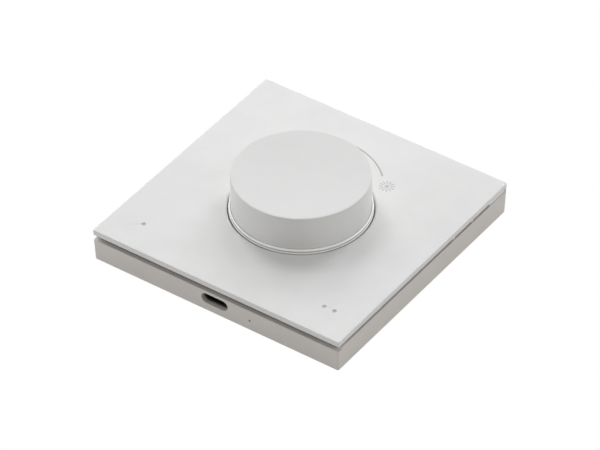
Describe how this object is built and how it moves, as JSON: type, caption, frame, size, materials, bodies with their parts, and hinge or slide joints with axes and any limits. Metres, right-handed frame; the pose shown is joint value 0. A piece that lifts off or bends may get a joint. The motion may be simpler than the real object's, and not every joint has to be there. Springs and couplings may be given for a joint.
{
  "type": "smart rotary switch",
  "caption": "Square wall panel with a large round push-and-turn knob, a rocking front plate, a charging socket in its lower wall and a magnetic wall plate in its back.",
  "frame": {"origin": "centre of the back face, which lies on the wall or the table", "axes": "+Z out of the wall along the knob's axis, +Y up the hung panel, +X to its right; the charging socket opens towards -Y"},
  "size_m": [0.086, 0.086, 0.0228],
  "materials": {
    "plate_shell": "fine matt moulded shell, near white",
    "housing_shell": "fine matt moulded shell, warm grey",
    "knob_shell": "matt painted cap",
    "ring_trim": "satin painted ring",
    "cover_shell": "plain moulded inner cover",
    "core_shell": "plain moulded carrier",
    "steel_sheet": "zinc-plated sheet",
    "magnet_metal": "nickel-plated",
    "board_sheet": "green board lacquer",
    "screw_steel": "zinc-plated screws",
    "socket_steel": "drawn steel shell",
    "black_moulding": "black switch and connector mouldings",
    "shield_metal": "tinned shield",
    "pouch_foil": "laminated pouch foil",
    "tape_foam": "foam tape",
    "ivory_moulding": "ivory connector and button mouldings",
    "lead_sleeve": "soft lead insulation",
    "encoder_moulding": "dark blue encoder base",
    "die_cast": "die-cast zinc",
    "contact_metal": "plated contact strip"
  },
  "bodies": {
    "base": {"wall_plate": "steel_sheet", "rear_housing": "housing_shell", "magnets": "magnet_metal", "main_board": "board_sheet", "board_screws": "screw_steel", "usb_shell": "socket_steel", "usb_tongue": "black_moulding", "radio_module": "shield_metal", "control_chip": "black_moulding", "battery_pouch": "pouch_foil", "battery_tape": "tape_foam", "battery_connector": "ivory_moulding", "battery_leads": "lead_sleeve", "left_key_body": "black_moulding", "right_key_body": "black_moulding", "reset_switch_body": "black_moulding", "encoder_base": "encoder_moulding", "encoder_terminals": "contact_metal", "encoder_frame": "steel_sheet", "encoder_bushing": "die_cast", "bushing_washer": "steel_sheet", "bushing_nut": "steel_sheet", "inner_cover": "cover_shell", "cover_screws": "screw_steel", "trim_ring": "ring_trim"},
    "rotor": {"encoder_rotor": "ivory_moulding"},
    "knob": {"knob_cap": "knob_shell", "knob_core": "core_shell", "knob_shaft": "die_cast", "shaft_clip": "steel_sheet", "hub_spring": "steel_sheet"},
    "push_key": {"push_plunger": "black_moulding"},
    "plate": {"front_plate": "plate_shell"},
    "left_key": {"left_key_button": "ivory_moulding"},
    "right_key": {"right_key_button": "ivory_moulding"},
    "reset_key": {"reset_button": "ivory_moulding"}
  },
  "joints": [
    {"name": "knob_turn", "type": "hinge", "parent": "base", "child": "rotor", "pos_m": [0, 0, 0.0065], "axis": [0, 0, 1], "continuous": true},
    {"name": "knob_press", "type": "slide", "parent": "rotor", "child": "knob", "axis": [0, 0, 1], "range_m": [-0.0005, 0], "stiffness_N_per_m": 3000, "springref_m": 0.0005},
    {"name": "knob_switch_press", "type": "slide", "parent": "base", "child": "push_key", "axis": [0, 0, 1], "range_m": [-0.0005, 0]},
    {"name": "plate_tilt", "type": "hinge", "parent": "base", "child": "plate", "pos_m": [0, 0.041, 0.0079], "axis": [1, 0, 0], "range_deg": [0, 0.258], "stiffness_Nm_per_rad": 40, "springref_deg": -0.57},
    {"name": "left_key_press", "type": "slide", "parent": "base", "child": "left_key", "axis": [0, 0, 1], "range_m": [-0.00034, 0]},
    {"name": "right_key_press", "type": "slide", "parent": "base", "child": "right_key", "axis": [0, 0, 1], "range_m": [-0.00034, 0]},
    {"name": "reset_press", "type": "slide", "parent": "base", "child": "reset_key", "axis": [0, 1, 0], "range_m": [0, 0.00025], "stiffness_N_per_m": 2000, "springref_m": -0.0002}
  ],
  "couplings": [
    {"joint": "knob_switch_press", "follows": "knob_press", "ratio": 1},
    {"joint": "left_key_press", "follows": "plate_tilt", "m_per_rad": -0.0735},
    {"joint": "right_key_press", "follows": "plate_tilt", "m_per_rad": -0.0735}
  ]
}
